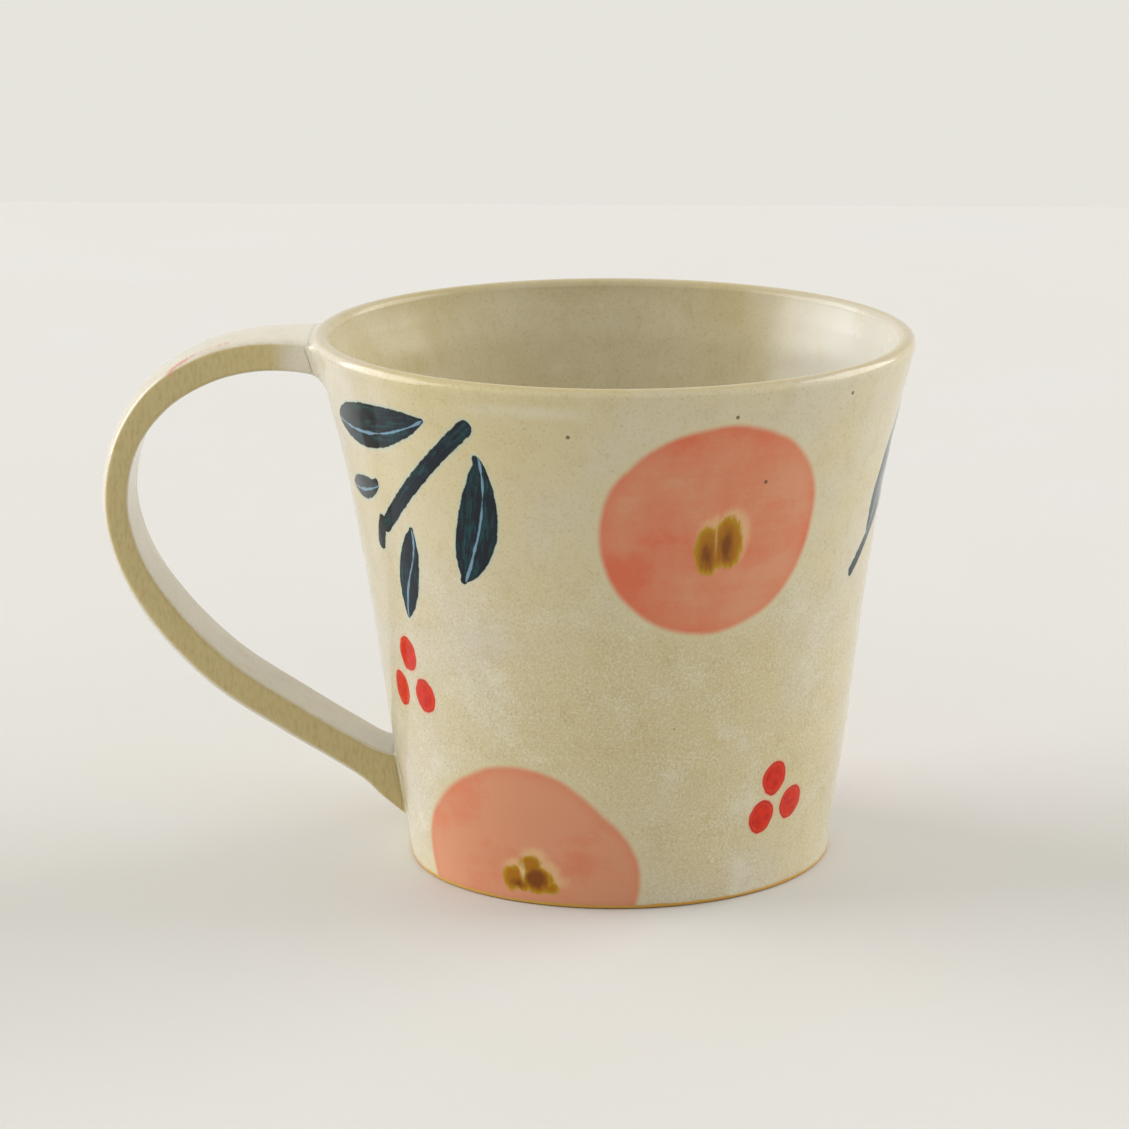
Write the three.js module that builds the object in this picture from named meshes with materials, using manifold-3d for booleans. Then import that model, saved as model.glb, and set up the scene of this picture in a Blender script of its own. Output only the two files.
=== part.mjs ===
// A hand-made stoneware mug: a thrown, flaring cup with a shallow turned foot, and a pulled
// strap handle that is luted to it with clay slip, flush with the rim and just above the foot.
// Millimetres, +Z up, the handle along -X. The origin is on the table, in the middle of the
// mug's overall footprint.

import * as THREE from "three";
import { mergeVertices } from "three/addons/utils/BufferGeometryUtils.js";
import Module from "manifold-3d";

const wasm = await Module();
wasm.setup();

// ---- Driving dimensions ------------------------------------------------------------------

const CUP_HEIGHT = 84.2;
const RIM_RADIUS = 47.5;
const LIP_RADIUS = 1.4; // the rolled lip is twice this thick
const FOOT_RADIUS = 34.9;
const FOOT_CHAMFER = 0.4;
const FOOT_RING_WIDTH = 5.6;
const RECESS_DEPTH = 1.6;
const RECESS_SLOPE = 1.2;
const BASE_THICKNESS = 4.4;
const INNER_CORNER_RADIUS = 9;
const WALL_SLOPE = Math.PI / 16; // the flare of the wall where the inner corner meets it
// Pressing the handle on pushed the soft wall in on that side, most at the foot.
const DENT_DEPTH = 2.4;
const DENT_HALF_ANGLE = THREE.MathUtils.degToRad(32);

// The outer wall between the foot and the lip, as [height, radius].
const OUTER_WALL = [
  [5, 35.3],
  [20, 37.5],
  [40, 39.8],
  [60, 42.6],
  [72, 44.9],
  [80, 46.8],
];
// Wall thickness just under the lip and at the inner corner.
const WALL_AT_LIP = 3;
const WALL_AT_CORNER = 4.4;

const AROUND_STEPS = 64;
const WALL_STEPS = 18;
const ARC_STEPS = 6;

// The strap's middle line from inside the rim to inside the lower wall. reach is measured from
// the cup's axis, width across the strap, depth between its inner face and its outer edges,
// and crown is how far the outer face swells beyond those edges.
const STRAP_STATIONS = [
  { reach: 43, height: 80.3, width: 21, depth: 4.6, crown: 1.3 },
  { reach: 50, height: 80.8, width: 16.6, depth: 4.1, crown: 1.3 },
  { reach: 57, height: 80.4, width: 14.2, depth: 4.1, crown: 1.3 },
  { reach: 64, height: 78.4, width: 13, depth: 4.1, crown: 1.3 },
  { reach: 71.3, height: 73.8, width: 13, depth: 3.9, crown: 1.3 },
  { reach: 76.4, height: 66.4, width: 13, depth: 3.2, crown: 1.5 },
  { reach: 78.2, height: 57, width: 13, depth: 3.1, crown: 1.5 },
  { reach: 76.2, height: 48, width: 13, depth: 3.2, crown: 1.8 },
  { reach: 71, height: 39.3, width: 13, depth: 3.5, crown: 2.2 },
  { reach: 62, height: 29.9, width: 13, depth: 3.7, crown: 2.3 },
  { reach: 51, height: 22.5, width: 13, depth: 3.7, crown: 2.3 },
  { reach: 43, height: 17.5, width: 12.6, depth: 3.9, crown: 2 },
  { reach: 38.2, height: 14.4, width: 12, depth: 4.8, crown: 1.5 },
  { reach: 35.2, height: 12.6, width: 12, depth: 7, crown: 1 },
  { reach: 31, height: 10, width: 12, depth: 8.4, crown: 1 },
];
const STRAP_EDGE_RADIUS = 0.6;
// How high and how wide the crown's shoulders are, as shares of the crown and half width.
const SHOULDER_RISE = 0.7;
const SHOULDER_SPAN = 0.5;
const STEPS_PER_STATION = 4;
const SECTION_STEPS = 3;
const TANGENT_STEP = 1e-3; // as a share of the strap's length
const WELD_DISTANCE = 1e-4;

const CLEARANCE = 0.3; // left between pieces that touch
const SLIP_THICKNESS = 1.6;
const SLIP_OVERHANG = 1.2; // how far the slip squeezes out around the strap

const GLAZE = { color: 0xcfc4a0, roughness: 0.24, metalness: 0 };
const POOLED_GLAZE = { color: 0xbcae84, roughness: 0.18, metalness: 0 };

// ---- Solids and geometries ---------------------------------------------------------------

function solidFrom(geometry) {
  const bare = geometry.clone();
  bare.deleteAttribute("normal");
  bare.deleteAttribute("uv");
  const merged = mergeVertices(bare, WELD_DISTANCE);
  return new wasm.Manifold(
    new wasm.Mesh({
      numProp: 3,
      vertProperties: merged.attributes.position.array,
      triVerts: new Uint32Array(merged.index.array),
    }),
  );
}

function geometryFrom(solid) {
  const mesh = solid.getMesh();
  const geometry = new THREE.BufferGeometry();
  geometry.setAttribute("position", new THREE.BufferAttribute(mesh.vertProperties, 3));
  geometry.setIndex(new THREE.BufferAttribute(mesh.triVerts, 1));
  const flat = geometry.toNonIndexed();
  flat.computeVertexNormals();
  return flat;
}

function moveVertices(geometry, place) {
  const positions = geometry.attributes.position;
  const point = new THREE.Vector3();
  for (let i = 0; i < positions.count; i++) {
    point.fromBufferAttribute(positions, i);
    place(point);
    positions.setXYZ(i, point.x, point.y, point.z);
  }
  geometry.computeVertexNormals();
  return geometry;
}

// A turned solid about +Z from [radius, height] points, pushed in below the handle.
function turned(profile) {
  const points = profile.map(([radius, height]) => new THREE.Vector2(radius, height));
  const geometry = new THREE.LatheGeometry(points, AROUND_STEPS);
  geometry.rotateX(Math.PI / 2);
  return moveVertices(geometry, (point) => {
    const fromHandle = Math.atan2(point.y, -point.x) / DENT_HALF_ANGLE;
    const below = THREE.MathUtils.clamp(1 - point.z / CUP_HEIGHT, 0, 1);
    const push = (DENT_DEPTH / FOOT_RADIUS) * below * Math.exp(-(fromHandle ** 2));
    point.x *= 1 - push;
    point.y *= 1 - push;
  });
}

// ---- The cup -----------------------------------------------------------------------------

const lipCentreHeight = CUP_HEIGHT - LIP_RADIUS;
const lipCentreRadius = RIM_RADIUS - LIP_RADIUS;
const cornerHeight = RECESS_DEPTH + BASE_THICKNESS;

// Points along the outer wall as [radius, height], pushed outwards by an offset.
function outerWall(offset = 0) {
  const knots = [[FOOT_CHAMFER, FOOT_RADIUS], ...OUTER_WALL, [lipCentreHeight, RIM_RADIUS]];
  const curve = new THREE.SplineCurve(knots.map(([z, r]) => new THREE.Vector2(r, z)));
  return curve.getPoints(WALL_STEPS).map((point) => [point.x + offset, point.y]);
}

function arc(centreRadius, centreHeight, radius, from, to) {
  const points = [];
  for (let i = 0; i <= ARC_STEPS; i++) {
    const angle = THREE.MathUtils.lerp(from, to, i / ARC_STEPS);
    points.push([
      centreRadius + radius * Math.cos(angle),
      centreHeight + radius * Math.sin(angle),
    ]);
  }
  return points;
}

// The inner wall follows the outer one and thickens towards the corner.
function innerWall() {
  const top = lipCentreHeight - 2 * LIP_RADIUS;
  const bottom = cornerHeight + INNER_CORNER_RADIUS;
  return outerWall()
    .filter(([, height]) => height > bottom && height < top)
    .map(([radius, height]) => {
      const down = (top - height) / (top - bottom);
      return [radius - THREE.MathUtils.lerp(WALL_AT_LIP, WALL_AT_CORNER, down), height];
    })
    .reverse();
}

function cupProfile() {
  const ringInner = FOOT_RADIUS - FOOT_CHAMFER - FOOT_RING_WIDTH;
  const inside = innerWall();
  const [cornerRadius] = inside[inside.length - 1];
  const corner = arc(
    cornerRadius - INNER_CORNER_RADIUS,
    cornerHeight + INNER_CORNER_RADIUS,
    INNER_CORNER_RADIUS,
    -WALL_SLOPE,
    -Math.PI / 2,
  );
  return [
    [0, RECESS_DEPTH],
    [ringInner - RECESS_SLOPE, RECESS_DEPTH],
    [ringInner, 0],
    [FOOT_RADIUS - FOOT_CHAMFER, 0],
    ...outerWall(),
    ...arc(lipCentreRadius, lipCentreHeight, LIP_RADIUS, 0, Math.PI).slice(1),
    ...inside,
    ...corner,
    [0, cornerHeight],
  ];
}

// Everything within the cup's outer wall grown by an offset, open at neither end.
function wallEnvelope(offset) {
  const wall = outerWall(offset);
  const above = 2 * CUP_HEIGHT;
  return solidFrom(
    turned([
      [0, -CUP_HEIGHT],
      [wall[0][0], -CUP_HEIGHT],
      ...wall,
      [RIM_RADIUS + offset, above],
      [0, above],
    ]),
  );
}

// ---- The strap handle --------------------------------------------------------------------

// The section is drawn for the station that reaches farthest, and scaled at the others.
const nominal = STRAP_STATIONS.reduce((a, b) => (b.reach > a.reach ? b : a));

// A flat inner face, upright sides and a crowned outer face.
function strapSection() {
  const side = nominal.width / 2;
  const half = nominal.depth / 2;
  const r = STRAP_EDGE_RADIUS;
  const crown = half + nominal.crown;
  const shoulder = half + SHOULDER_RISE * nominal.crown;
  const span = SHOULDER_SPAN * side;
  const shape = new THREE.Shape();
  shape.moveTo(-side + r, -half);
  shape.lineTo(side - r, -half);
  shape.quadraticCurveTo(side, -half, side, -half + r);
  shape.lineTo(side, half);
  shape.bezierCurveTo(side, shoulder, span, crown, 0, crown);
  shape.bezierCurveTo(-span, crown, -side, shoulder, -side, half);
  shape.lineTo(-side, -half + r);
  shape.quadraticCurveTo(-side, -half, -side + r, -half);
  return shape;
}

// The strap as a straight extrusion bent along its stations, swollen all round by grow.
function strap(grow = 0) {
  const path = new THREE.CatmullRomCurve3(
    STRAP_STATIONS.map((s) => new THREE.Vector3(-s.reach, 0, s.height)),
  );
  const sizes = new THREE.CatmullRomCurve3(
    STRAP_STATIONS.map((s) => new THREE.Vector3(s.width + 2 * grow, s.depth + 2 * grow, s.crown)),
  );
  const geometry = new THREE.ExtrudeGeometry(strapSection(), {
    depth: 1,
    steps: STEPS_PER_STATION * (STRAP_STATIONS.length - 1),
    curveSegments: SECTION_STEPS,
    bevelEnabled: false,
  });
  const bent = moveVertices(geometry, (point) => {
    const along = point.z;
    const middle = path.getPoint(along);
    const ahead = path.getPoint(Math.min(along + TANGENT_STEP, 1));
    const behind = path.getPoint(Math.max(along - TANGENT_STEP, 0));
    const tangent = ahead.sub(behind).normalize();
    const outward = new THREE.Vector3(tangent.z, 0, -tangent.x);
    const size = sizes.getPoint(along);
    const half = nominal.depth / 2;
    const swell = Math.max(point.y - half, 0) / nominal.crown;
    const through = (Math.min(point.y, half) / half) * (size.y / 2) + swell * size.z;
    const across = (point.x / nominal.width) * size.x;
    point.copy(middle).addScaledVector(outward, through);
    point.y = -across;
  });
  return solidFrom(bent);
}

function halfSpace(lowest, highest) {
  const box = new THREE.BoxGeometry(4 * RIM_RADIUS, 4 * RIM_RADIUS, highest - lowest);
  return solidFrom(box.translate(0, 0, (lowest + highest) / 2));
}

function slipJoint(lowest, highest) {
  return strap(SLIP_OVERHANG)
    .intersect(wallEnvelope(CLEARANCE + SLIP_THICKNESS))
    .subtract(wallEnvelope(CLEARANCE))
    .intersect(halfSpace(lowest, highest));
}

// ---- Assembly ----------------------------------------------------------------------------

function piece(name, geometry, finish) {
  const mesh = new THREE.Mesh(geometry, new THREE.MeshStandardMaterial(finish));
  mesh.name = name;
  return mesh;
}

const strapSolid = strap().subtract(wallEnvelope(2 * CLEARANCE + SLIP_THICKNESS));

const assembled = new THREE.Group();
assembled.add(
  piece("cup_body", turned(cupProfile()), GLAZE),
  piece("handle_strap", geometryFrom(strapSolid), GLAZE),
  piece(
    "upper_slip_joint",
    geometryFrom(slipJoint(CUP_HEIGHT / 2, CUP_HEIGHT)),
    POOLED_GLAZE,
  ),
  piece("lower_slip_joint", geometryFrom(slipJoint(0, CUP_HEIGHT / 2)), POOLED_GLAZE),
);

const footprint = new THREE.Box3().setFromObject(assembled);
assembled.position.x = -(footprint.min.x + footprint.max.x) / 2;

const mug = new THREE.Group();
mug.add(assembled);

export default mug;
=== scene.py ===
"""A painted stoneware mug: its fine surface, its glaze and underglaze painting, and a plain studio."""
import math

import bmesh
import bpy
import numpy as np
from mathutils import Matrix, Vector


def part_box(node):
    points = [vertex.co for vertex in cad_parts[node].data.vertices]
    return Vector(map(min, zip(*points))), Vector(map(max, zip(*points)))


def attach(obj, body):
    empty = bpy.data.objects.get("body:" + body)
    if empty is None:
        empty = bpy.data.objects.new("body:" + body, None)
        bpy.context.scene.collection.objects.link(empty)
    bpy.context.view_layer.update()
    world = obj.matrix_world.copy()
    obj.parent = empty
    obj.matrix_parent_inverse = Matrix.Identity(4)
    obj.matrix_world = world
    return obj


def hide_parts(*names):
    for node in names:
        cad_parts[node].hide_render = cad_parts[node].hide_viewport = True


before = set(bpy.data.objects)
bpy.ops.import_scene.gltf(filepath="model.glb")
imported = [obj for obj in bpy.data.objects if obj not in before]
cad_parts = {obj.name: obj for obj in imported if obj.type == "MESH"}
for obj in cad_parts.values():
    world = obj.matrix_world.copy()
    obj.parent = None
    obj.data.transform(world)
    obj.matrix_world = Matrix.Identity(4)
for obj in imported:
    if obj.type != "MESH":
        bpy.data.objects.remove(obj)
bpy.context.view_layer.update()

# ---- The frame -----------------------------------------------------------------------------
# Lengths in this file are in millimetres and angles in degrees unless a name says otherwise.
# The meshes are scaled to metres when they are made.

METRES = 0.001
_, cup_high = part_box("cup_body")

CUP_HEIGHT = cup_high.z / METRES
RIM_RADIUS = cup_high.y / METRES
AXIS_X = cup_high.x / METRES - RIM_RADIUS  # the cup's own axis; the handle is towards -X

# ---- The shape -----------------------------------------------------------------------------

LIP_RADIUS = 1.4
LIP_HEIGHT = CUP_HEIGHT - LIP_RADIUS  # the centre of the lip's round edge
LIP_REACH = RIM_RADIUS - LIP_RADIUS
LIP_GROOVE = 0.06  # the depth of a faint hollow under the lip, left by the thrower's finger
LIP_GROOVE_DROP = 3.0  # below the top
LIP_GROOVE_SPREAD = 0.7

FOOT_RADIUS = 34.9
FOOT_CHAMFER = 0.4
FOOT_RING_WIDTH = 5.6
RECESS_DEPTH = 1.6
RECESS_SLOPE = 1.2
BASE_THICKNESS = 4.4
INNER_CORNER_RADIUS = 9
WALL_SLOPE = math.pi / 16
DENT_DEPTH = 2.4  # the soft wall was pushed in behind the lower end of the handle
DENT_HALF_ANGLE = 32
WALL_KNOTS = [(0.4, 34.9), (5, 35.3), (20, 37.5), (40, 39.8), (60, 42.6), (72, 44.9), (80, 46.8)]
WALL_AT_LIP = 3
WALL_AT_CORNER = 4.4
THROWING_RING = 0.035  # the height of the faint ridges left by throwing
RIDGES_FADE_AT_FOOT, RIDGES_FADE_AT_LIP = 12, 8

AROUND = 288
ROW = 1.0  # between rows of the cup's mesh
WALL_SAMPLES = 400
LIP_STEPS, LIP_STEPS_OUTSIDE = 22, 14
INNER_CORNER_STEPS = 18
FLAT_STEPS = 24  # across the recess and the floor inside

# The strap's middle line, as (reach from the cup's axis, height, width, depth, crown).
STRAP = [
    (43, 80.3, 21, 4.6, 1.3),
    (50, 80.8, 16.6, 4.1, 1.3),
    (57, 80.4, 14.2, 4.1, 1.3),
    (64, 78.4, 13, 4.1, 1.3),
    (71.3, 73.8, 13, 3.9, 1.3),
    (76.4, 66.4, 13, 3.2, 1.5),
    (78.2, 57, 13, 3.1, 1.5),
    (76.2, 48, 13, 3.2, 1.8),
    (71, 39.3, 13, 3.5, 2.2),
    (62, 29.9, 13, 3.7, 2.3),
    (51, 22.5, 13, 3.7, 2.3),
    (43, 17.5, 12.6, 3.9, 2),
    (38.2, 14.4, 12, 4.8, 1.5),
    (35.2, 12.6, 12, 7, 1),
    (31, 10, 12, 8.4, 1),
]
STRAP_EDGE_RADIUS = 0.75
SHOULDER_RISE = 0.7
STRAP_LENGTH = 148  # near enough to turn a fillet's size into a share of it
STRAP_ROWS = 210
STRAP_SAMPLES = 2400
STRAP_MIDDLE = 0.5  # a share of the strap's length that is well clear of the wall
TANGENT_STEP = 1e-3
HALVINGS = 28
INNER_FACE_STEPS, CORNER_STEPS, SIDE_STEPS, CROWN_STEPS = 7, 6, 5, 13

# How far the slip's fillet runs out over the wall: on the strap's outer face, sides and inner face.
UPPER_FILLET = (0.35, 2.2, 3.2)
LOWER_FILLET = (1.3, 0.9, 1.3)
FILLET_ROWS = 16
LEAST_SEAM = 1.0
FULLNESS = 0.6
BEDDING = 0.06  # the fillet's edge lies this deep in the wall, and its hidden back this much more
BACK_DEPTH = 0.6


def mix(a, b, share):
    return a + (b - a) * share


def hermite(p1, p2, t1, t2, s):
    """The cubic from p1 to p2 whose tangents there are t1 and t2."""
    rise = s * s * (3 - 2 * s)
    return p1 + (p2 - p1) * rise + t1 * s * (1 - s) ** 2 - t2 * s * s * (1 - s)


def even_spline(knots, share):
    """Catmull-Rom through the knots, which divide it evenly."""
    span = min(max(share, 0), 1) * (len(knots) - 1)
    i = min(int(span), len(knots) - 2)
    before, after = knots[max(i - 1, 0)], knots[min(i + 2, len(knots) - 1)]
    t1 = (knots[i + 1] - before) / 2
    t2 = (after - knots[i]) / 2
    return hermite(knots[i], knots[i + 1], t1, t2, span - i)


def centripetal_spline(knots, share):
    """Centripetal Catmull-Rom; the first two numbers of a knot are its place."""
    span = min(max(share, 0), 1) * (len(knots) - 1)
    i = min(int(span), len(knots) - 2)
    p1, p2 = knots[i], knots[i + 1]
    p0 = knots[i - 1] if i > 0 else 2 * p1 - p2
    p3 = knots[i + 2] if i + 2 < len(knots) else 2 * p2 - p1
    d0, d1, d2 = (math.sqrt(math.dist(a[:2], b[:2])) for a, b in ((p0, p1), (p1, p2), (p2, p3)))
    t1 = ((p1 - p0) / d0 - (p2 - p0) / (d0 + d1) + (p2 - p1) / d1) * d1
    t2 = ((p2 - p1) / d1 - (p3 - p1) / (d1 + d2) + (p3 - p2) / d2) * d1
    return hermite(p1, p2, t1, t2, span - i)


# ---- The cup's surface ---------------------------------------------------------------------

wall_knots = [np.array(knot, float) for knot in [*WALL_KNOTS, (LIP_HEIGHT, RIM_RADIUS)]]
wall_line = [even_spline(wall_knots, s / WALL_SAMPLES) for s in range(WALL_SAMPLES + 1)]
wall_heights = [p[0] for p in wall_line]
wall_radii = [p[1] for p in wall_line]


def wall_radius(height):
    groove_at = CUP_HEIGHT - LIP_GROOVE_DROP
    groove = LIP_GROOVE * math.exp(-(((height - groove_at) / LIP_GROOVE_SPREAD) ** 2))
    return float(np.interp(height, wall_heights, wall_radii)) - groove


def dent(turn, height):
    """How much the wall is pushed in, as a share of its radius. turn is in radians."""
    from_handle = math.remainder(turn - math.pi, 2 * math.pi) / math.radians(DENT_HALF_ANGLE)
    below = min(max(1 - height / CUP_HEIGHT, 0), 1)
    return DENT_DEPTH / FOOT_RADIUS * below * math.exp(-from_handle ** 2)


def turned_point(turn, radius, height):
    radius *= 1 - dent(turn, height)
    return Vector((AXIS_X + radius * math.cos(turn), radius * math.sin(turn), height))


def skin_point(turn, rise, inset=0):
    """A point on the cup's outside. rise is the height up to the lip, then runs on round the lip."""
    if rise <= LIP_HEIGHT:
        return turned_point(turn, wall_radius(rise) - inset, rise)
    angle = (rise - LIP_HEIGHT) / LIP_RADIUS
    radius = LIP_RADIUS - inset
    reach = LIP_REACH + radius * math.cos(angle)
    return turned_point(turn, reach, LIP_HEIGHT + radius * math.sin(angle))


def skin_place(point):
    """(turn, rise, how far outside) of a point near the cup's outside."""
    turn = math.atan2(point.y, point.x - AXIS_X)
    radius = math.hypot(point.y, point.x - AXIS_X) / (1 - dent(turn, point.z))
    if point.z <= LIP_HEIGHT:
        return turn, point.z, radius - wall_radius(point.z)
    over, out = point.z - LIP_HEIGHT, radius - LIP_REACH
    rise = LIP_HEIGHT + LIP_RADIUS * math.atan2(over, out)
    return turn, rise, math.hypot(over, out) - LIP_RADIUS


# ---- Meshes --------------------------------------------------------------------------------


def new_mesh(name, points, faces, flat=(), slots=None):
    """A smooth mesh object from points in millimetres; flat lists the faces that aren't smooth."""
    mesh = bpy.data.meshes.new(name)
    mesh.from_pydata([p * METRES for p in points], [], faces)
    mesh.polygons.foreach_set("use_smooth", [i not in flat for i in range(len(faces))])
    if slots is not None:
        mesh.polygons.foreach_set("material_index", slots)
    tidy = bmesh.new()
    tidy.from_mesh(mesh)
    bmesh.ops.recalc_face_normals(tidy, faces=tidy.faces)
    tidy.to_mesh(mesh)
    tidy.free()
    piece = bpy.data.objects.new(name, mesh)
    bpy.context.scene.collection.objects.link(piece)
    return piece


def bands(rings, around):
    """The faces between rings of points that follow each other, each ring closed on itself."""
    faces = []
    for ring in range(rings - 1):
        for i in range(around):
            j = (i + 1) % around
            low, high = ring * around, (ring + 1) * around
            faces.append((low + i, low + j, high + j, high + i))
    return faces


OUTSIDE, INSIDE, UNDERSIDE = range(3)


def arc(centre, radius, start, end, steps):
    for i in range(steps + 1):
        angle = mix(start, end, i / steps)
        yield centre[0] + radius * math.cos(angle), centre[1] + radius * math.sin(angle)


def line(start, end, steps):
    for i in range(steps + 1):
        yield mix(start[0], end[0], i / steps), mix(start[1], end[1], i / steps)


def thrown(radius, height):
    """The radius with the faint, uneven ridges that throwing leaves."""
    fade = min(height / RIDGES_FADE_AT_FOOT, (CUP_HEIGHT - height) / RIDGES_FADE_AT_LIP, 1)
    ridges = math.sin(height * 0.9) + 0.6 * math.sin(height * 0.37 + 1)
    return radius + THROWING_RING * fade * ridges


def cup_profile():
    """(radius, height, part) from the middle of the underside, over the lip, to the middle inside."""
    ring_outer = FOOT_RADIUS - FOOT_CHAMFER
    ring_inner = ring_outer - FOOT_RING_WIDTH
    recess = ring_inner - RECESS_SLOPE
    floor = RECESS_DEPTH + BASE_THICKNESS
    under = [
        *line((1, RECESS_DEPTH), (recess - 0.5, RECESS_DEPTH), FLAT_STEPS),
        *line((recess, RECESS_DEPTH - 0.1), (ring_inner - 0.25, 0.25), 4),
        *line((ring_inner, 0.06), (ring_inner + 0.3, 0), 2),
        *line((ring_inner + 0.6, 0), (ring_outer - 0.3, 0), 6),
        (ring_outer, 0.05),
    ]
    wall_rows = int(LIP_HEIGHT / ROW)
    chamfer = [(FOOT_RADIUS - 0.12, 0.18), (FOOT_RADIUS, FOOT_CHAMFER)]
    heights = [mix(FOOT_CHAMFER, LIP_HEIGHT, i / wall_rows) for i in range(1, wall_rows)]
    wall = [(thrown(wall_radius(z), z), z) for z in heights]
    lip = list(arc((LIP_REACH, LIP_HEIGHT), LIP_RADIUS, 0, math.pi, LIP_STEPS))
    top, bottom = LIP_HEIGHT - 2 * LIP_RADIUS, floor + INNER_CORNER_RADIUS
    inner = []
    for i in range(wall_rows + 1):
        height = mix(top, bottom, i / wall_rows)
        thickness = mix(WALL_AT_LIP, WALL_AT_CORNER, i / wall_rows)
        radius = float(np.interp(height, wall_heights, wall_radii)) - thickness
        inner.append((thrown(radius, height), height))
    corner = (inner[-1][0] - INNER_CORNER_RADIUS, bottom)
    round_corner = list(arc(corner, INNER_CORNER_RADIUS, -WALL_SLOPE, -math.pi / 2, INNER_CORNER_STEPS))
    inner_floor = list(line((corner[0] - 1, floor), (1, floor), FLAT_STEPS))
    return (
        [(*p, UNDERSIDE) for p in under]
        + [(*p, OUTSIDE) for p in chamfer + wall + lip[:LIP_STEPS_OUTSIDE]]
        + [(*p, INSIDE) for p in lip[LIP_STEPS_OUTSIDE:] + inner + round_corner + inner_floor]
    )


def make_cup():
    profile = cup_profile()
    turns = [2 * math.pi * i / AROUND for i in range(AROUND)]
    points = [turned_point(turn, radius, height) for radius, height, _ in profile for turn in turns]
    faces = bands(len(profile), AROUND)
    slots = [profile[i // AROUND][2] for i in range(len(faces))]
    ends = [tuple(range(AROUND)), tuple(range(len(points) - AROUND, len(points)))]
    slots += [UNDERSIDE, INSIDE]
    return new_mesh("cup", points, faces + ends, slots=slots)


# ---- The strap and its joints --------------------------------------------------------------

strap_shares = np.linspace(0, 1, STRAP_SAMPLES + 1)
strap_knots = [np.array(station, float) for station in STRAP]
strap_line = np.array([centripetal_spline(strap_knots, share) for share in strap_shares])
strap_slopes = np.gradient(strap_line[:, :2], axis=0)
strap_slopes /= np.linalg.norm(strap_slopes, axis=1)[:, None]


def quadratic(a, b, c, s):
    return mix(mix(a, b, s), mix(b, c, s), s)


def cubic(a, b, c, d, s):
    return mix(quadratic(a, b, c, s), quadratic(b, c, d, s), s)


def section(width, depth, crown, r=STRAP_EDGE_RADIUS):
    """The strap's outline, (across, outward), closed on itself, from the middle of its inner face."""
    side, half = width / 2, depth / 2
    top = half + crown
    inner, corner_start, corner = np.array([(0, -half), (side - r, -half), (side, -half)])
    corner_end, shoulder = np.array([(side, -half + r), (side, half)])
    rise, span, crest = np.array([(side, half + SHOULDER_RISE * crown), (side / 2, top), (0, top)])
    points = [mix(inner, corner_start, i / INNER_FACE_STEPS) for i in range(INNER_FACE_STEPS)]
    corner_points = (corner_start, corner, corner_end)
    points += [quadratic(*corner_points, i / CORNER_STEPS) for i in range(CORNER_STEPS)]
    points += [mix(corner_end, shoulder, i / SIDE_STEPS) for i in range(SIDE_STEPS)]
    points += [cubic(shoulder, rise, span, crest, i / CROWN_STEPS) for i in range(CROWN_STEPS + 1)]
    other_half = [point * (-1, 1) for point in points[-2:0:-1]]
    return np.array(points + other_half)


# The outline is the sum of what its width, depth, crown and edge radius each add to it.
outline_parts = [section(1, 0, 0, 0), section(0, 1, 0, 0), section(0, 0, 1, 0), section(0, 0, 0, 1)]
COLUMNS = len(outline_parts[0])


def strap_points(shares):
    """A point on each line of the strap, at that line's own share of the strap's length."""
    reach, height, width, depth, crown = (np.interp(shares, strap_shares, k) for k in strap_line.T)
    slope_out, slope_up = (np.interp(shares, strap_shares, k) for k in strap_slopes.T)
    sizes = (width, depth, crown, np.full(COLUMNS, STRAP_EDGE_RADIUS))
    across, through = sum(size * part.T for size, part in zip(sizes, outline_parts))
    x = AXIS_X - reach + slope_up * through
    z = height + slope_out * through
    return [Vector(point) for point in zip(x, across, z)]


def meet_wall(end):
    """The shares of the strap's length at which its lines run into the cup, by halving."""
    clear, buried = np.full(COLUMNS, STRAP_MIDDLE), np.full(COLUMNS, float(end))
    for _ in range(HALVINGS):
        middle = (clear + buried) / 2
        outside = np.array([skin_place(point)[2] > 0 for point in strap_points(middle)])
        clear = np.where(outside, middle, clear)
        buried = np.where(outside, buried, middle)
    return clear


def section_directions():
    """The outward unit direction of the section's outline at each line."""
    outline = section(*STRAP[0][2:])
    along = np.roll(outline, -1, axis=0) - np.roll(outline, 1, axis=0)
    return [np.array((a[1], -a[0])) / np.linalg.norm(a) for a in along]


def fillet_reach(direction, sizes):
    """The fillet's size for a section direction (across, outward), from sizes (outer, side, inner)."""
    outer, side, inner = sizes
    face = outer if direction[1] > 0 else inner
    return math.hypot(side * direction[0], face * direction[1])


def seam(end, sizes):
    """For each line of the strap: where the joint's fillet starts on it, and where it meets the wall."""
    hits = meet_wall(end)
    reaches = [max(fillet_reach(direction, sizes), LEAST_SEAM) for direction in section_directions()]
    away = 1 if end < STRAP_MIDDLE else -1
    return hits + away * np.array(reaches) / STRAP_LENGTH, hits


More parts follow.
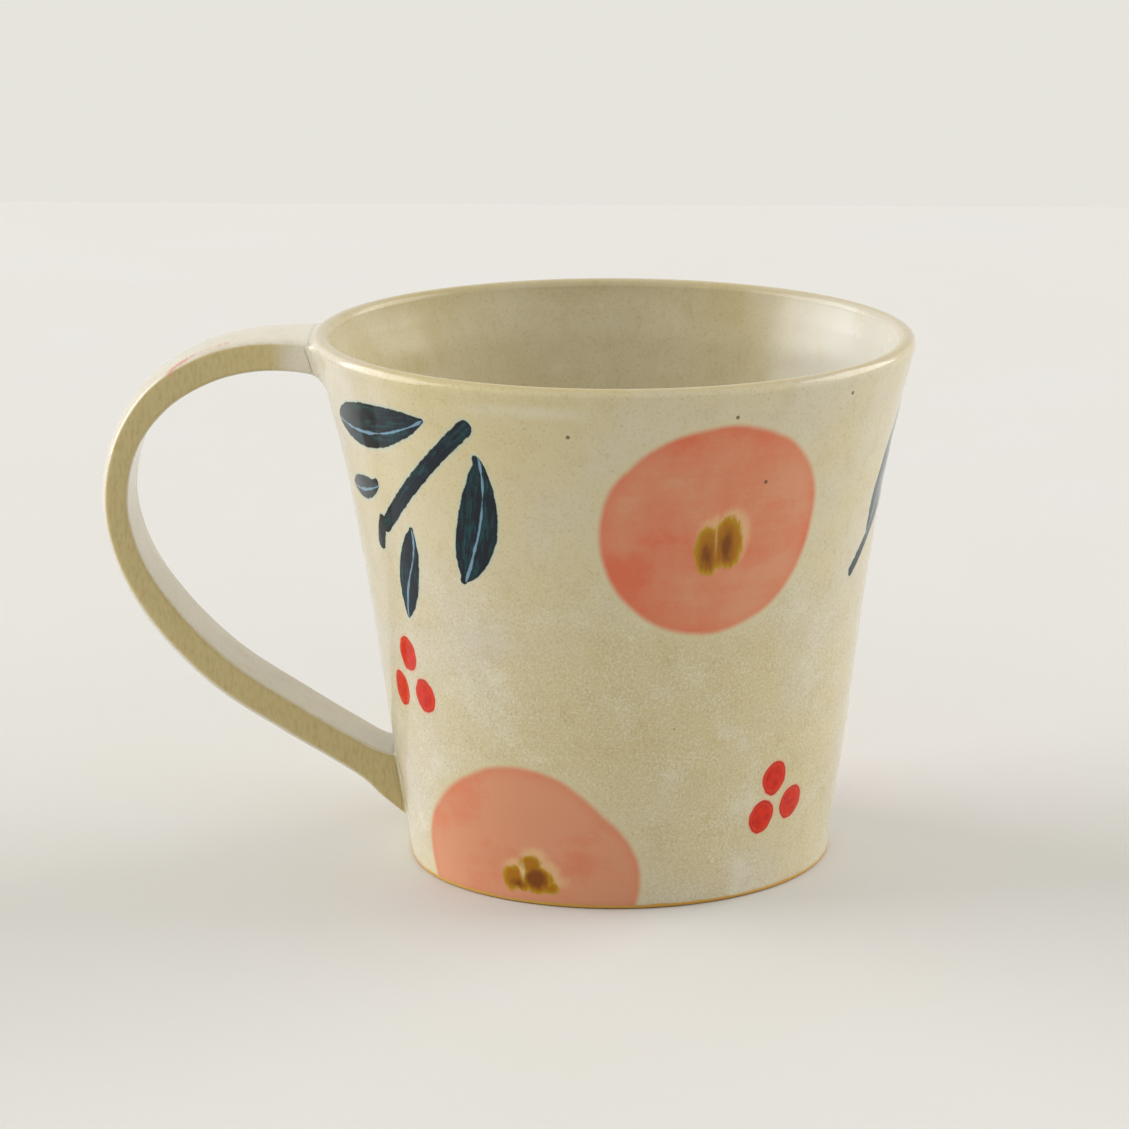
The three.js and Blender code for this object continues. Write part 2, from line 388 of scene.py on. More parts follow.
def make_joint(name, end, sizes, starts, hits):
    """A closed fillet of slip from the strap's seam ring out onto the wall."""
    away = 1 if end < STRAP_MIDDLE else -1
    rows = [[] for _ in range(FILLET_ROWS + 1)]
    feet = []
    lines = zip(
        section_directions(),
        strap_points(starts),
        strap_points(starts + away * TANGENT_STEP),
        strap_points(hits),
    )
    for direction, start, before, meeting in lines:
        turn, rise, _ = skin_place(meeting)
        reach = fillet_reach(direction, sizes)
        sideways = -direction[0] * reach / RIM_RADIUS
        upwards = away * direction[1] * reach
        foot_place = (turn + sideways, rise + upwards)
        foot = skin_point(*foot_place, BEDDING)
        near_foot = skin_point(turn + 0.9 * sideways, rise + 0.9 * upwards, BEDDING)
        leave = (start - before).normalized() * (meeting - start).length * FULLNESS
        arrive = (foot - near_foot).normalized() * (foot - skin_point(turn, rise)).length * FULLNESS
        for i in range(FILLET_ROWS + 1):
            rows[i].append(cubic(start, start + leave, foot - arrive, foot, i / FILLET_ROWS))
        feet.append(foot_place)
    back = [skin_point(*place, BEDDING + BACK_DEPTH) for place in feet]
    points = [p for row in rows for p in row] + back
    faces = bands(FILLET_ROWS + 2, COLUMNS)
    hidden = set(range(FILLET_ROWS * COLUMNS, len(faces) + 2))
    faces += [tuple(range(COLUMNS)), tuple(range(len(points) - COLUMNS, len(points)))]
    return new_mesh(name, points, faces, flat=hidden)


def make_strap(upper, lower):
    points = []
    for row in range(STRAP_ROWS + 1):
        points += strap_points(mix(upper, lower, row / STRAP_ROWS))
    faces = bands(STRAP_ROWS + 1, COLUMNS)
    ends = [tuple(range(COLUMNS)), tuple(range(len(points) - COLUMNS, len(points)))]
    flat = {len(faces), len(faces) + 1}
    return new_mesh("handle", points, faces + ends, flat=flat)


# ---- Node arithmetic -----------------------------------------------------------------------


class Wire:
    """The output of a shader node. Arithmetic on it adds Math nodes to the same tree."""

    def __init__(self, tree, socket):
        self.tree = tree
        self.socket = socket

    def math(self, operation, *others):
        return calculate(self.tree, operation, self, *others)

    def __add__(self, other):
        return self.math("ADD", other)

    def __radd__(self, other):
        return self.math("ADD", other)

    def __sub__(self, other):
        return self.math("SUBTRACT", other)

    def __rsub__(self, other):
        return calculate(self.tree, "SUBTRACT", other, self)

    def __mul__(self, other):
        return self.math("MULTIPLY", other)

    def __rmul__(self, other):
        return self.math("MULTIPLY", other)

    def __truediv__(self, other):
        return self.math("DIVIDE", other)

    def __pow__(self, other):
        return self.math("POWER", other)

    def __abs__(self):
        return self.math("ABSOLUTE")


def connect(tree, value, socket):
    if isinstance(value, Wire):
        tree.links.new(value.socket, socket)
    elif isinstance(value, tuple) and len(value) == 3 and len(socket.default_value) == 4:
        socket.default_value = (*value, 1)
    else:
        socket.default_value = value


def calculate(tree, operation, *values):
    node = tree.nodes.new("ShaderNodeMath")
    node.operation = operation
    for value, socket in zip(values, node.inputs):
        connect(tree, value, socket)
    return Wire(tree, node.outputs[0])


def smallest(wires):
    result = wires[0]
    for wire in wires[1:]:
        result = result.math("MINIMUM", wire)
    return result


def distance(a, b):
    return (a * a + b * b).math("SQRT")


def step(wire, start, end):
    """0 where wire is at start or short of it, 1 at end, and smooth between."""
    node = wire.tree.nodes.new("ShaderNodeMapRange")
    node.interpolation_type = "SMOOTHSTEP"
    if start < end:
        limits = (start, end, 0, 1)
    else:
        limits = (end, start, 1, 0)
    for value, socket in zip((wire, *limits), node.inputs):
        connect(wire.tree, value, socket)
    return Wire(wire.tree, node.outputs[0])


def clamp(wire, low, high):
    node = wire.tree.nodes.new("ShaderNodeClamp")
    for value, socket in zip((wire, low, high), node.inputs):
        connect(wire.tree, value, socket)
    return Wire(wire.tree, node.outputs[0])


def paint(share, under, over):
    """The colour over laid on the colour under, by share."""
    node = share.tree.nodes.new("ShaderNodeMix")
    node.data_type = "RGBA"
    connect(share.tree, share, node.inputs[0])
    connect(share.tree, under, node.inputs[6])
    connect(share.tree, over, node.inputs[7])
    return Wire(share.tree, node.outputs[2])


def tint(colour, amount, tone):
    """The colour multiplied by tone, by amount."""
    node = amount.tree.nodes.new("ShaderNodeMix")
    node.data_type = "RGBA"
    node.blend_type = "MULTIPLY"
    connect(amount.tree, amount, node.inputs[0])
    connect(amount.tree, colour, node.inputs[6])
    connect(amount.tree, tone, node.inputs[7])
    return Wire(amount.tree, node.outputs[2])


def vector_math(operation, vector, *values):
    node = vector.tree.nodes.new("ShaderNodeVectorMath")
    node.operation = operation
    connect(vector.tree, vector, node.inputs[0])
    if operation == "SCALE":
        connect(vector.tree, values[0], node.inputs["Scale"])
    else:
        for value, socket in zip(values, node.inputs[1:]):
            socket.default_value = value
    return Wire(vector.tree, node.outputs[0])


def noise(vector, size, detail=2.0, roughness=0.5, seed=0.0, stretch=(1, 1, 1)):
    """Noise about 0.5 with features of that size in millimetres, longer along an axis by stretch."""
    place = vector_math("MULTIPLY", vector, tuple(1 / (size * s) for s in stretch))
    if seed:
        place = vector_math("ADD", place, (seed * 7.3, seed * 3.1, seed * 5.7))
    node = vector.tree.nodes.new("ShaderNodeTexNoise")
    connect(vector.tree, place, node.inputs["Vector"])
    node.inputs["Scale"].default_value = 1
    node.inputs["Detail"].default_value = detail
    node.inputs["Roughness"].default_value = roughness
    return Wire(vector.tree, node.outputs["Fac"])


def specks(vector, spacing, size, share, seed=0.0):
    """Round specks up to size across, in about that share of cells of that spacing."""
    place = vector_math("SCALE", vector, 1 / spacing)
    place = vector_math("ADD", place, (seed * 3.7, seed * 1.9, seed * 2.3))
    node = vector.tree.nodes.new("ShaderNodeTexVoronoi")
    connect(vector.tree, place, node.inputs["Vector"])
    node.inputs["Scale"].default_value = 1
    split = vector.tree.nodes.new("ShaderNodeSeparateColor")
    vector.tree.links.new(node.outputs["Color"], split.inputs[0])
    away = Wire(vector.tree, node.outputs["Distance"]) * spacing
    chance = Wire(vector.tree, split.outputs[0])
    radius = Wire(vector.tree, split.outputs[1]) * (size / 2)
    there = step(chance, 1 - share, 1 - share + 0.01)
    return there * step(away - radius, 0.12, -0.04)


def combine(x, y, z):
    node = x.tree.nodes.new("ShaderNodeCombineXYZ")
    for value, socket in zip((x, y, z), node.inputs):
        connect(x.tree, value, socket)
    return Wire(x.tree, node.outputs[0])


class Surface:
    """A new material, with its position in millimetres about the cup's axis."""

    def __init__(self, name):
        self.material = bpy.data.materials.new(name)
        self.material.use_nodes = True
        self.tree = self.material.node_tree
        self.tree.nodes.clear()
        coordinates = self.tree.nodes.new("ShaderNodeTexCoord")
        metres = Wire(self.tree, coordinates.outputs["Object"])
        self.place = vector_math("SCALE", metres, 1 / METRES)
        self.place = vector_math("SUBTRACT", self.place, (AXIS_X, 0, 0))
        split = self.tree.nodes.new("ShaderNodeSeparateXYZ")
        connect(self.tree, self.place, split.inputs[0])
        self.x, self.y, self.height = (Wire(self.tree, output) for output in split.outputs)
        self.turn = self.y.math("ARCTAN2", self.x) * (180 / math.pi)

    def finish(self, colour, roughness, bumps, specular=0.32, ior=1.52):
        """bumps is a height in millimetres."""
        shader = self.tree.nodes.new("ShaderNodeBsdfPrincipled")
        connect(self.tree, colour, shader.inputs["Base Color"])
        connect(self.tree, roughness, shader.inputs["Roughness"])
        shader.inputs["IOR"].default_value = ior
        shader.inputs["Specular IOR Level"].default_value = specular
        bump = self.tree.nodes.new("ShaderNodeBump")
        bump.inputs["Distance"].default_value = METRES
        connect(self.tree, bumps, bump.inputs["Height"])
        self.tree.links.new(bump.outputs[0], shader.inputs["Normal"])
        output = self.tree.nodes.new("ShaderNodeOutputMaterial")
        self.tree.links.new(shader.outputs[0], output.inputs[0])
        return self.material


def srgb(red, green, blue):
    """A colour from its 0 to 255 values on a screen, as linear numbers."""
    def linear(value):
        value /= 255
        return value / 12.92 if value <= 0.04045 else ((value + 0.055) / 1.055) ** 2.4
    return linear(red), linear(green), linear(blue)


# ---- The glaze -----------------------------------------------------------------------------

CREAM = srgb(210, 203, 188)
KHAKI = srgb(208, 196, 156)
INNER_CREAM = srgb(206, 197, 170)
INNER_KHAKI = srgb(190, 176, 128)
# The strap's pale broad faces and khaki sides: partly the glaze's own colour, partly painted light and
# painted shade.
STRAP_LIT_PALE = srgb(218, 213, 198)
STRAP_SHADED_KHAKI = srgb(198, 182, 132)
MILKY = srgb(222, 219, 204)
LIP_KHAKI = srgb(178, 158, 108)
SPECK = srgb(92, 66, 42)
BARE_CLAY = srgb(206, 160, 76)
CLAY_DARK = srgb(168, 112, 58)
# What thicker glaze, dark grains and the strap's combed lines multiply the colour by
CLOUD_SHADE = srgb(238, 233, 218)
GRAIN_SHADE = srgb(234, 227, 212)
COMBED_SHADE = srgb(226, 218, 200)

SHADED_FRONT_TURN = -88  # the turn of the side facing the camera: khaki is painted heavier about it as painted shade, and paler away from it as painted reflection
PEEL_HEIGHT = 0.022
FINE_PEEL_HEIGHT = 0.003
SMOOTHEST, ROUGHNESS_RANGE = 0.09, 0.08
INNER_DULLNESS = 0.14  # added to the roughness inside
INNER_PEEL = 0.5  # the share of the outside's orange peel


def glaze_colour(surface, pale, khaki):
    """Pale to khaki glaze with cloudy drifts, a fine grain and a few iron specks."""
    drift = noise(surface.place, 26, detail=3, roughness=0.55, seed=1)
    # Painted shade: khaki lies heavier on the side facing the camera, and the glaze turns paler towards
    # the sides as a painted reflection of the bright room.
    front_shade = step(abs(surface.turn - SHADED_FRONT_TURN), 70, 10)
    colour = paint(step(drift + front_shade * 0.2, 0.3, 0.8), pale, khaki)
    cloud = noise(surface.place, 4, detail=4, roughness=0.6, seed=2)
    colour = tint(colour, step(cloud, 0.45, 0.8) * 0.5, CLOUD_SHADE)
    grain = noise(surface.place, 0.5, detail=2, roughness=0.7, seed=3)
    colour = tint(colour, step(grain, 0.48, 0.85), GRAIN_SHADE)
    tiny = specks(surface.place, 3.2, 0.3, 0.1, seed=4)
    colour = paint(tiny * 0.5, colour, SPECK)
    iron = specks(surface.place, 9, 0.6, 0.22, seed=1)
    return paint(iron * 0.85, colour, SPECK)


def glaze_bumps(surface):
    """Orange peel, in millimetres."""
    peel = noise(surface.place, 3.0, detail=2, roughness=0.4, seed=5)
    fine = noise(surface.place, 0.6, detail=1, seed=6)
    return peel * PEEL_HEIGHT + fine * FINE_PEEL_HEIGHT


def glaze_roughness(surface):
    patches = noise(surface.place, 4, detail=3, seed=7)
    return step(patches, 0.3, 0.9) * ROUGHNESS_RANGE + SMOOTHEST


# ---- The painting --------------------------------------------------------------------------
# Each motif is laid on the unrolled wall: turn is degrees about the cup's axis, -90 being the
# side away from +Y and 180 the handle, and height is above the table.


class Motif:
    """A place on the unrolled wall, with across and up measured from it along a tilted pair of axes."""

    def __init__(self, surface, turn, height, tilt=0.0):
        to_mm = math.radians(wall_radius(height))
        side = (surface.turn - turn) * to_mm
        rise = surface.height - height
        c, s = math.cos(math.radians(tilt)), math.sin(math.radians(tilt))
        if tilt:
            self.across = side * c + rise * s
            self.up = rise * c - side * s
        else:
            self.across, self.up = side, rise
        self.surface = surface


def unrolled_distance(start, end):
    """(length, tilt) of the line between two (turn, height) places on the wall."""
    to_mm = math.radians(wall_radius((start[1] + end[1]) / 2))
    side, rise = (end[0] - start[0]) * to_mm, end[1] - start[1]
    return math.hypot(side, rise), math.degrees(math.atan2(rise, side))


def poppy_edge(surface, turn, height, radius, oval, oval_turn, lobes, lobe_turn):
    """(signed distance outside the petals' edge, motif) of a loosely round flower."""
    motif = Motif(surface, turn, height)
    angle = motif.up.math("ARCTAN2", motif.across)
    ovals = (angle * 2 - math.radians(2 * oval_turn)).math("COSINE") * oval
    lobed = (angle * 3 - math.radians(3 * lobe_turn)).math("COSINE") * lobes
    return distance(motif.across, motif.up) - ovals - lobed - radius, motif


POPPIES = [
    # turn, height, radius, oval, its turn, lobes, their turn
    (-68.1, 61.4, 17.18, 0.7, 10, 0.05, 31),
    (-112.5, 7.4, 16.4, 2.4, 177, -1.48, 26),
    (52, 54, 16.2, 1.1, 60, 0.5, 20),
    (112, 63, 12.5, 0.9, 120, 0.5, 80),
    (62, 8, 14.2, 2.4, 5, -0.9, 50),
]
# How strong the wash is at each poppy's left and right
POPPY_DEPTHS = [(1, 0), (-0.3, -1), (1, 0), (0.6, -0.4), (-0.3, -0.8)]
SALMON = srgb(211, 133, 99)
CORAL = srgb(212, 108, 76)
PALE_SALMON = srgb(211, 146, 112)
PETAL_EDGE = srgb(208, 199, 160)

# An eye is drawn with seeds, their dark cores and pale gaps, each an ellipse:
# across, up, half width, half height.
SEED_PAIR = (
    [(-1.7, -0.6, 2.25, 3.8), (1.35, 0.3, 2.6, 4.1)],
    [(-1.8, -1.3, 0.9, 1.9), (1.3, -0.1, 1.1, 2.5)],
    [(-0.5, 2.1, 0.15, 2.0)],
)
SEED_RING = (
    [
        (-2.9, -0.8, 1.8, 2.1),
        (0.1, 1.9, 1.8, 1.5),
        (1.3, -0.6, 2.5, 2.3),
        (3.3, -1.8, 1.5, 0.9),
        (-1.2, -1.7, 1.8, 0.9),
    ],
    [(-2.2, -1.6, 1.0, 0.6), (1.0, -0.5, 1.8, 1.6)],
    [(-1.2, 0.9, 0.5, 1.5)],
)
EYES = [
    # turn, height, size, drawing
    (-67.2, 58.8, 1.0, SEED_PAIR),
    (-110.2, 4.8, 1.0, SEED_RING),
    (53.0, 52.5, 1.0, SEED_RING),
    (111.5, 62.0, 0.8, SEED_PAIR),
    (63.0, 6.0, 0.95, SEED_RING),
]
OLIVE_GOLD = srgb(180, 142, 10)
GOLD = srgb(168, 108, 0)
BROWN = srgb(112, 52, 0)
EYE_HALO = srgb(222, 194, 142)


def paint_poppies(surface, colour):
    wobble = noise(surface.place, 8, detail=2, seed=11) - 0.5
    edges = []
    deeper = 0
    for poppy, (left, right) in zip(POPPIES, POPPY_DEPTHS):
        edge, motif = poppy_edge(surface, *poppy)
        edges.append(edge)
        radius = poppy[2]
        leftness = step(motif.across, 0.7 * radius, -radius)
        deeper = step(edge, 2, 0) * (leftness * (left - right) + right) + deeper
    edge = smallest(edges) + wobble * 0.9
    wash = noise(surface.place, 9, detail=3, roughness=0.55, seed=13)
    bands = noise(surface.place, 1.7, detail=2, seed=12, stretch=(14, 14, 1))
    grain = noise(surface.place, 0.5, detail=1, seed=14)
    depth = wash + (bands - 0.5) * 0.2 + (grain - 0.5) * 0.14 + deeper * 0.2
    petals = paint(step(depth, 0.36, 0.56), PALE_SALMON, SALMON)
    petals = paint(step(depth, 0.52, 0.84), petals, CORAL)
    petals = paint(step(edge, -2.4, -0.4) * 0.25, petals, CORAL)
    colour = paint(step(edge, 1.8, 0.2) * 0.5, colour, PETAL_EDGE)
    colour = paint(step(edge, 0.6, -0.65), colour, petals)
    return paint_eyes(surface, colour)


def ellipse(motif, size, across, up, half_width, half_height):
    """About how far outside an ellipse, in millimetres, beside the motif's own place."""
    reach = distance(
        (motif.across - across * size) / (half_width * size),
        (motif.up - up * size) / (half_height * size),
    )
    return (reach - 1) * (min(half_width, half_height) * size)


def paint_eyes(surface, colour):
    ragged = noise(surface.place, 1.0, detail=3, roughness=0.65, seed=15, stretch=(1, 1, 3)) - 0.5
    seeds, cores, gaps, halos = [], [], [], []
    for turn, height, size, (seed, core, gap) in EYES:
        motif = Motif(surface, turn, height)
        seeds += [ellipse(motif, size, *one) for one in seed]
        cores += [ellipse(motif, size, *one) for one in core]
        gaps += [ellipse(motif, size, *one) for one in gap]
        halos += [ellipse(motif, size, a + 0.7, u + 1.1, w + 0.2, h + 0.1) for a, u, w, h in seed]
    seed = smallest(seeds) + ragged * 1.5
    core = smallest(cores) + ragged * 1.6
    gap = smallest(gaps) + ragged * 0.5
    colour = paint(step(smallest(halos) + ragged, 0.9, -0.6) * 0.5, colour, EYE_HALO)
    colour = paint(step(seed, 0.35, -0.25), colour, OLIVE_GOLD)
    colour = paint(step(seed, 0.1, -0.8), colour, GOLD)
    colour = paint(step(core, 0.5, -0.7) * 0.85, colour, BROWN)
    return paint(step(gap, 0.2, -0.25) * 0.4, colour, EYE_HALO)


LEAVES = [
    # base, tip (each turn and height), half width, how far the middle bends, how far the widest
    # place moves to the base, and the midrib's distance from the middle near base and tip
    ((-159.2, 73.6), (-127.6, 77.2), 3.6, -1.0, 0.3, -1.2, -1.2),
    ((-160.2, 62.6), (-145.4, 64.4), 1.9, -0.3, 0.1, -0.6, -0.3),
    ((-115.6, 72.6), (-121.9, 52.0), 3.7, 1.0, -0.35, 0.9, 0.1),
    ((-135.6, 59.0), (-140.9, 43.8), 2.5, -0.2, -0.1, 1.9, -1.2),
    ((-7.0, 76.0), (-19.5, 54.5), 3.3, 0.8, -0.3, 0.8, 0.0),
    ((-1.5, 60.0), (3.5, 42.0), 3.1, 0.4, -0.2, 0.6, -0.4),
    ((8.0, 79.0), (31.0, 75.0), 3.3, 1.0, 0.2, 0.7, 0.4),
    ((134.0, 77.0), (158.0, 79.3), 2.8, -0.8, 0.2, -0.5, -0.5),
    ((160.0, 60.0), (154.0, 41.0), 3.2, 0.3, -0.3, 0.8, -0.2),
    ((133.0, 50.0), (125.5, 34.5), 2.8, -0.5, -0.2, 0.9, -0.4),
    ((80.0, 39.5), (99.0, 34.5), 3.1, 0.8, 0.2, 0.6, 0.3),
    ((100.0, 20.0), (94.0, 6.0), 2.6, 0.4, -0.2, 0.7, -0.3),
]
LEAF_ROUNDNESS = 0.72  # 1 gives a lens with sharp ends, a half gives an ellipse
# Stems: end, end, half width
STEMS = [
    ((-117.9, 77.0), (-146.0, 58.3), 1.3),
    ((-146.4, 58.6), (-148.5, 55.0), 1.15),
    ((-3.0, 63.5), (-26.2, 50.0), 0.95),
    ((152.0, 70.5), (132.0, 54.0), 1.15),
    ((112.0, 35.5), (90.0, 21.0), 1.1),
    # The brush's first and last touch on some leaves
    ((-116.4, 72.3), (-116.2, 70.7), 0.55),
    ((-121.2, 54.4), (-122.0, 52.4), 0.65),
    ((-129.4, 77.3), (-127.7, 77.2), 0.35),
    ((-135.8, 58.6), (-135.9, 57.1), 0.5),
    ((-148.3, 64.4), (-146.0, 65.0), 0.55),
    ((-1.8, 59.6), (-1.2, 61.2), 0.55),
    ((160.2, 60.2), (160.8, 61.8), 0.55),
    ((98.6, 34.6), (100.4, 34.1), 0.45),
]
INDIGO = srgb(8, 20, 34)
TEAL = srgb(16, 62, 68)
MIDRIB = srgb(128, 166, 192)
BLUE_HALO = srgb(172, 198, 190)
BLACK_BLUE = srgb(7, 8, 14)


def leaf_edge(surface, base, tip, half_width, bend, belly, rib_base, rib_tip):
    """(about how far outside a leaf, distance from its midrib, motif)."""
    length, tilt = unrolled_distance(base, tip)
    motif = Motif(surface, *base, tilt)
    share = motif.across / length
    inside = clamp(share, 0, 1)
    bell = inside * (1 - inside) * 4
    beyond = abs(share - inside) * length
    side = motif.up - bell * bend
    moved = inside + bell * (belly / 4)
    fullness = (moved * (1 - moved) * 4) ** LEAF_ROUNDNESS
    edge = abs(side) + beyond - fullness * half_width
    rib = abs(side - bell * (inside * (rib_tip - rib_base) + rib_base)) + beyond
    return edge, rib, motif


def stem_edge(surface, start, end, half_width):
    """(signed distance outside a round-ended stroke, motif)."""
    length, tilt = unrolled_distance(start, end)
    motif = Motif(surface, *start, tilt)
    beyond = motif.across - clamp(motif.across, 0, length)
    return distance(beyond, motif.up) - half_width, motif


def paint_leaves(surface, colour):
    ragged = (noise(surface.place, 1.1, detail=2, seed=21) - 0.5) * 0.5
    leaves = [leaf_edge(surface, *leaf) for leaf in LEAVES]
    stems = [stem_edge(surface, *stem) for stem in STEMS]
    leaf = smallest([edge for edge, _, _ in leaves])
    stem = smallest([edge for edge, _ in stems])
    rib = smallest([rib for _, rib, _ in leaves])
    # Every stroke's own directions, put together so that one noise can follow them all.
    along, aside = 0, 0
    for edge, *_, motif in leaves + stems:
        here = step(edge, 1.0, 0.4)
        along = here * motif.across + along
        aside = here * motif.up + aside
    streak = noise(combine(along, aside, 0), 0.42, detail=3, roughness=0.6, seed=22, stretch=(9, 1, 1))
    pool = noise(surface.place, 3.2, detail=2, seed=23)
    leafy = paint(step(streak + (pool - 0.5) * 0.7, 0.42, 0.72), INDIGO, TEAL)
    leafy = paint(step(pool, 0.6, 0.75) * 0.7, leafy, BLACK_BLUE)
    leafy = paint(step(leaf.math("MINIMUM", stem), -0.7, -0.1) * 0.6, leafy, BLACK_BLUE)
    wander = noise(surface.place, 2.4, detail=2, seed=24) - 0.5
    vein = step(abs(rib + wander * 0.7), 0.25, 0.1) * step(leaf, 0.0, -0.5)
    leafy = paint(vein * 0.75, leafy, MIDRIB)
    edge = leaf.math("MINIMUM", stem) + ragged
    colour = paint(step(edge, 0.6, 0.1) * 0.5, colour, BLUE_HALO)
    return paint(step(edge, 0.1, -0.1), colour, leafy)


BERRY_HALF_WIDTH, BERRY_HALF_HEIGHT = 2.4, 2.8
BERRIES = [
    # turn, height and tilt of each berry, three by three
    (-143.4, 37.5, 14),
    (-148.4, 31.1, 14),
    (-138.0, 31.4, 16),
    (-47.0, 19.1, -14),
    (-49.9, 13.0, -18),
    (-40.2, 14.2, -16),
    (20.0, 27.0, 10),
    (15.5, 20.3, 12),
    (26.0, 20.6, 10),
    (82.0, 74.5, -12),
    (77.2, 68.0, -10),
    (87.2, 68.3, -14),
    (153.0, 28.0, 8),
    (148.6, 21.6, 10),
    (157.2, 21.8, 10),
]
BERRY_RED = srgb(214, 38, 4)
BERRY_DEEP = srgb(184, 20, 2)
BERRY_PALE = srgb(218, 78, 44)
BERRY_HALO = srgb(222, 178, 150)


def paint_berries(surface, colour):
    berries = []
    for turn, height, tilt in BERRIES:
        motif = Motif(surface, turn, height, tilt)
        berries.append(distance(motif.across / BERRY_HALF_WIDTH, motif.up / BERRY_HALF_HEIGHT))
    wobble = (noise(surface.place, 2, detail=2, seed=31) - 0.5) * 0.25
    edge = (smallest(berries) - 1 + wobble) * BERRY_HALF_WIDTH
    body = noise(surface.place, 1.2, detail=3, roughness=0.7, seed=32)
    berry = paint(step(body, 0.35, 0.75), BERRY_RED, BERRY_DEEP)
    berry = paint(step(edge, -0.75, -0.5) * step(edge, -0.15, -0.4) * 0.3, berry, BERRY_PALE)
    berry = paint(step(edge, -0.3, -0.05) * 0.8, berry, BERRY_DEEP)
    colour = paint(step(edge, 0.6, 0.05) * 0.55, colour, BERRY_HALO)
    return paint(step(edge, 0.14, -0.12), colour, berry)


# ---- Materials -----------------------------------------------------------------------------


SAND_SHADE = srgb(226, 217, 196)
SANDY_BELOW, SMOOTH_ABOVE = 40, 66  # heights between which the sandy grain fades out
BARE_ROUGHNESS = 0.75
SMEAR_HIGHLIGHT = (-105, 80.5, 6.5, 0.9)  # a pale run of glaze under the lip with a painted highlight on it: turn, height, half sizes


def paint_number(share, under, over):
    """The number over laid on the number under, by share."""
    return under + share * (over - under)


IRON_SPOTS = [(-97.5, 76.8), (-58.0, 68.4), (-38.9, 80.4), (-65.9, 79.3)]  # turn, height
IRON_SPOT_RADIUS = 0.3


def iron_spots(surface):
    """The few dark spots that stand out: 1 on a spot and 0 off it."""
    motifs = [Motif(surface, *place) for place in IRON_SPOTS]
    nearest = smallest([distance(motif.across, motif.up) for motif in motifs])
    return step(nearest, IRON_SPOT_RADIUS + 0.1, IRON_SPOT_RADIUS - 0.1)


def painted_glaze():
    surface = Surface("painted_glaze")
    colour = glaze_colour(surface, CREAM, KHAKI)
    bloom = noise(surface.place, 9, detail=4, roughness=0.65, seed=8)
    salt = noise(surface.place, 0.34, detail=1, seed=10)
    low = step(surface.height, SMOOTH_ABOVE, SANDY_BELOW)
    colour = tint(colour, step(salt, 0.6, 0.3) * low * 0.2, SAND_SHADE)
    colour = paint(step(salt, 0.5, 0.75) * low * 0.35, colour, MILKY)
    milky = step(bloom + (salt - 0.5) * 0.3, 0.5, 0.75) * low
    colour = paint(milky * 0.55, colour, MILKY)
    # Painted highlight: a milky patch under the lip, where a ripple in the glaze catches the light.
    turn, height, half_width, half_height = SMEAR_HIGHLIGHT
    smear_highlight = ellipse(Motif(surface, turn, height), 1, 0, 0, half_width, half_height)
    smear_highlight = smear_highlight + (bloom - 0.5) * 4
    colour = paint(step(smear_highlight, 0.9, -0.6) * 0.4, colour, MILKY)
    colour = paint_poppies(surface, colour)
    colour = paint_leaves(surface, colour)
    colour = paint_berries(surface, colour)
    colour = paint(iron_spots(surface) * 0.85, colour, SPECK)
    lip = step(surface.height, CUP_HEIGHT - 0.5, CUP_HEIGHT - 0.1)
    colour = paint(lip * 0.4, colour, LIP_KHAKI)
    uneven = noise(surface.place, 4, detail=2, seed=9) * 0.6 + 0.4
    bare = step(surface.height - uneven, 0.12, -0.12)
    colour = paint(bare, colour, BARE_CLAY)
    roughness = paint_number(bare, glaze_roughness(surface), BARE_ROUGHNESS)
    return surface.finish(colour, roughness, glaze_bumps(surface))


REFLECTION_PALE_INSIDE = srgb(209, 208, 202)
INNER_REFLECTION_TURN, INNER_REFLECTION_SPREAD = 18, 50
INNER_REFLECTION_FROM, INNER_REFLECTION_TO = 36, 60


def inner_glaze():
    """The inside, with a milky patch on the wall opposite the handle that is mostly a painted reflection
    of the window.
    """
    surface = Surface("inner_glaze")
    colour = glaze_colour(surface, INNER_CREAM, INNER_KHAKI)
    cloud = noise(surface.place, 7, detail=4, roughness=0.6, seed=61)
    near = step(abs(surface.turn - INNER_REFLECTION_TURN), INNER_REFLECTION_SPREAD, 10)
    high = step(surface.height, INNER_REFLECTION_FROM, INNER_REFLECTION_TO)
    # Painted reflection: a milky cloud on the upper inner wall opposite the handle, where the window is
    # seen mirrored.
    colour = paint(near * high * step(cloud, 0.15, 0.5) * 0.9, colour, REFLECTION_PALE_INSIDE)
    lip = step(surface.height, CUP_HEIGHT - 1.5, CUP_HEIGHT - 0.4)
    colour = paint(lip * 0.3, colour, LIP_KHAKI)
    roughness = glaze_roughness(surface) + INNER_DULLNESS
    return surface.finish(colour, roughness, glaze_bumps(surface) * INNER_PEEL)


FLECKS = [
    # Rose brush touches on the strap's top, (x, y, height) to (x, y, height) and half width
    ((-69.5, -5.9, 78.0), (-67.0, -5.2, 79.9), 0.6),
    ((-66.2, -5.0, 80.3), (-60.4, -4.9, 82.5), 0.4),
]
ROSE = srgb(206, 130, 118)
JOINT_FADE_FROM, JOINT_FADE_TO = -54, -49.5  # x, towards the cup


def fleck_edge(surface, start, end, half_width):
    """How far outside a round-ended stroke in space."""
    run = [b - a for a, b in zip(start, end)]
    squared = sum(r * r for r in run)
    offsets = [wire - a for wire, a in zip((surface.x, surface.y, surface.height), start)]
    share = clamp(sum((o * (r / squared) for o, r in zip(offsets, run)), 0), 0, 1)
    aside = [o - share * r for o, r in zip(offsets, run)]
    return distance(distance(aside[0], aside[1]), aside[2]) - half_width


